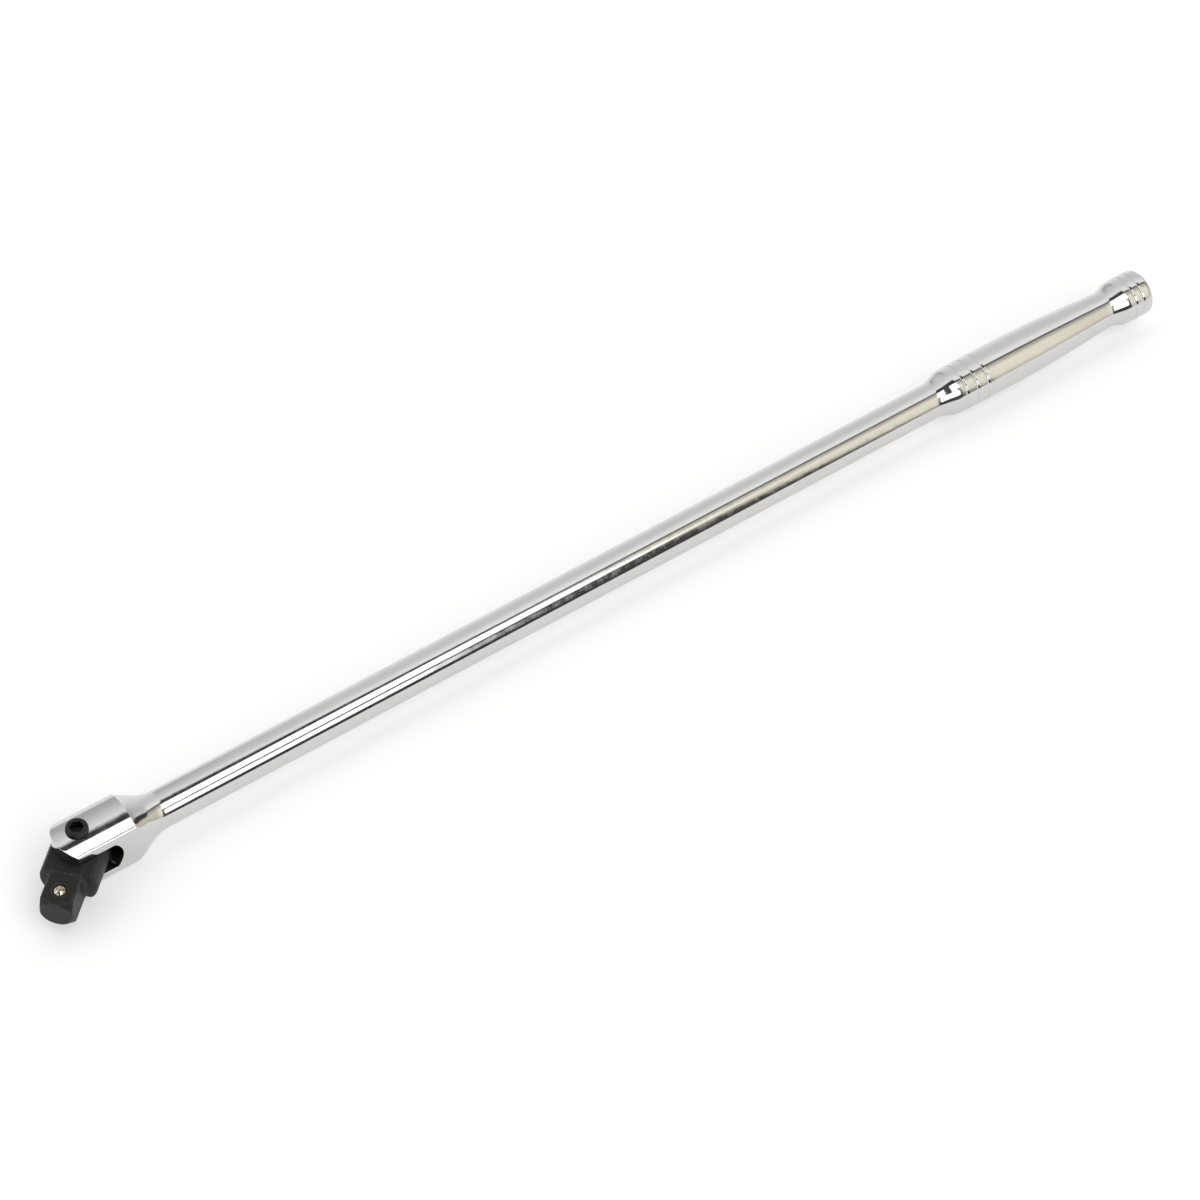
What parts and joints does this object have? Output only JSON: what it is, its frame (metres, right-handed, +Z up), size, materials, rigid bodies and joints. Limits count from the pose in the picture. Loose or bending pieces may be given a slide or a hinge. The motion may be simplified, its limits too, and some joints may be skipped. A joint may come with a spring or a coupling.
{
  "type": "breaker bar",
  "caption": "Long chromed steel bar with a swelled grip and end knob, and a swivelling black square drive head pinned in a slotted fork.",
  "frame": {"origin": "on the ground under the middle of the part's overall box; the pivot screw's axis is vertical and crosses the bar's axis at (-0.2444, 0.0066, 0.0138)", "axes": "+X along the bar from the fork to the end knob, +Z up along the pivot screw towards its socket head, +Y to the left of +X; the drive head is swung towards -Y"},
  "size_m": [0.5402, 0.0356, 0.0293],
  "materials": {
    "polished_chrome": "bright mirror polish",
    "black_oxide_steel": "satin black oxide",
    "black_screw_steel": "satin black oxide",
    "ball_steel": "polished, slightly brass tinted",
    "spring_steel": "plain drawn wire"
  },
  "bodies": {
    "bar": {"bar": "polished_chrome", "pivot_screw": "black_screw_steel", "friction_spring": "spring_steel"},
    "knuckle": {"drive_knuckle": "black_oxide_steel", "detent_spring": "spring_steel"},
    "detent": {"detent_ball": "ball_steel"},
    "friction": {"friction_ball": "ball_steel"}
  },
  "joints": [
    {"name": "knuckle_swing", "type": "hinge", "parent": "bar", "child": "knuckle", "pos_m": [-0.24435, 0.00659, 0.0138], "axis": [0, 0, 1], "range_deg": [-135.5, 50.5]},
    {"name": "detent_press", "type": "slide", "parent": "knuckle", "child": "detent", "axis": [0, 0, -1], "range_m": [0, 0.0013], "stiffness_N_per_m": 3000, "springref_m": -0.001, "deforming": ["detent_spring"]},
    {"name": "friction_press", "type": "slide", "parent": "bar", "child": "friction", "axis": [1, 0, 0], "range_m": [0, 0.001], "stiffness_N_per_m": 5000, "springref_m": -0.0008, "deforming": ["friction_spring"]}
  ]
}
